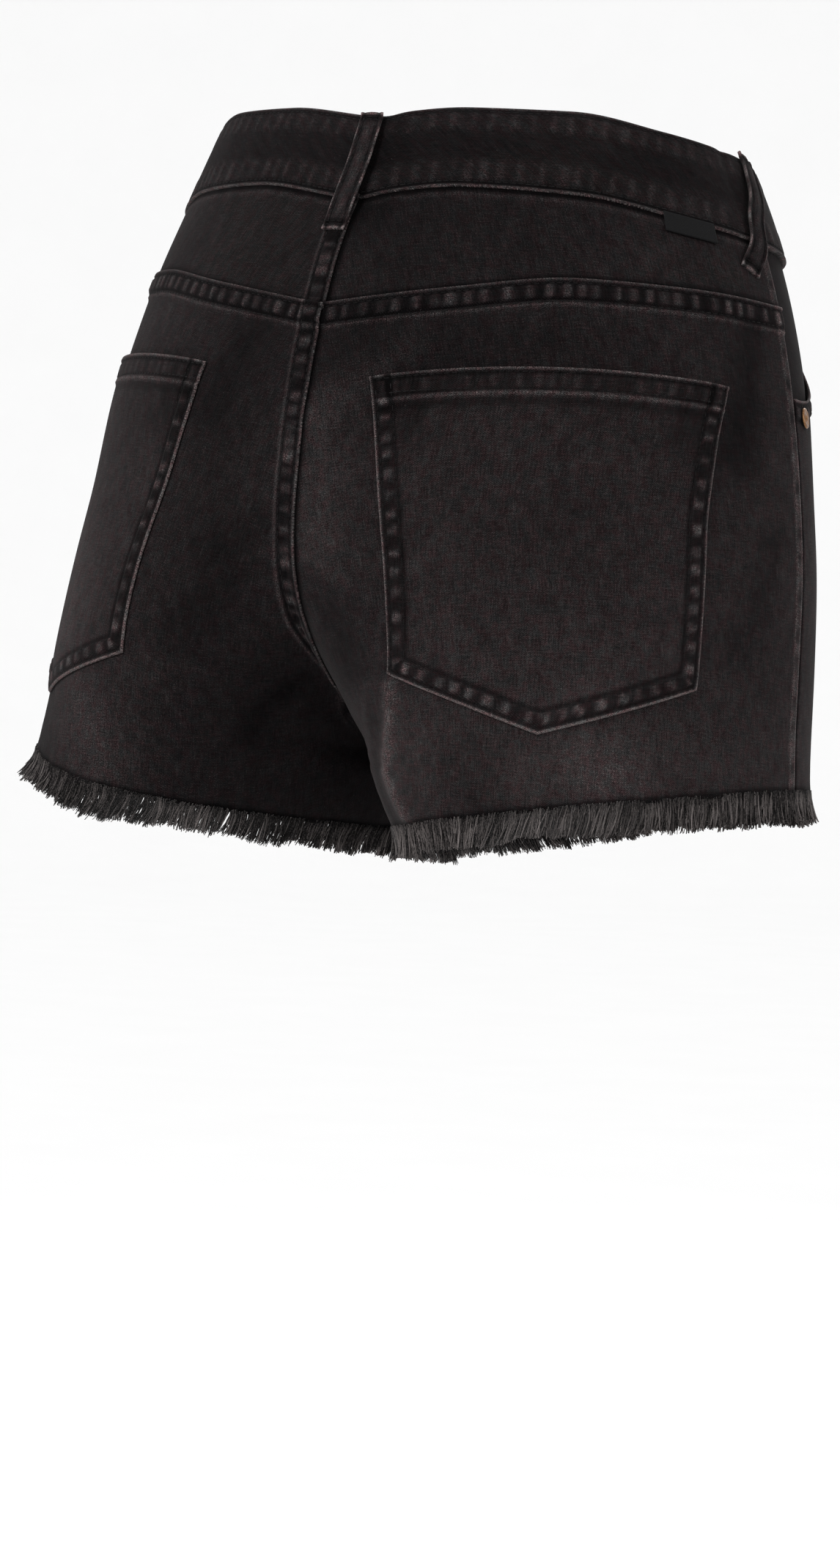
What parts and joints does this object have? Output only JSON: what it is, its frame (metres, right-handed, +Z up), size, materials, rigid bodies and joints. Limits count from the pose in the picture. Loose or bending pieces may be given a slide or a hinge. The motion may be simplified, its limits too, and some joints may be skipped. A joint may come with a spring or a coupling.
{
  "type": "denim shorts",
  "caption": "Short, high-cut washed-black denim shorts with pointed back pockets, belt loops and a frayed raw hem, hollow as when worn.",
  "frame": {"origin": "centre of the waist ring, at the height of the upper edge at the sides", "axes": "+Z up along the wearer, the wearer faces -Y, the wearer's left is +X"},
  "size_m": [0.3407, 0.2423, 0.3112],
  "materials": {
    "denim": "washed black stretch denim twill, matt",
    "pocket_denim": "washed black stretch denim twill, worn a little paler",
    "pocket_lining_denim": "black denim facing and bag, matt",
    "frayed_threads": "loose grey and black cotton threads",
    "tab": "plain black woven tab",
    "zip_tape": "black woven zip tape",
    "metal": "aged copper-coloured brass"
  },
  "bodies": {
    "root": {"waistband": "denim", "yoke_left": "denim", "yoke_right": "denim", "back_left": "denim", "back_right": "denim", "front_left": "denim", "front_right": "denim", "back_pocket_left": "pocket_denim", "back_pocket_right": "pocket_denim", "front_pocket_left": "pocket_lining_denim", "front_pocket_right": "pocket_lining_denim", "fringe_back_left": "frayed_threads", "fringe_back_right": "frayed_threads", "fringe_front_left": "frayed_threads", "fringe_front_right": "frayed_threads", "belt_loop_back": "denim", "belt_loop_side_right": "denim", "belt_loop_side_left": "denim", "belt_loop_front_right": "denim", "belt_loop_front_left": "denim", "woven_tab": "tab", "zip_tape": "zip_tape", "zip_slider": "metal", "button": "metal", "rivet_upper_left": "metal", "rivet_lower_left": "metal", "rivet_upper_right": "metal", "rivet_lower_right": "metal"}
  },
  "joints": []
}
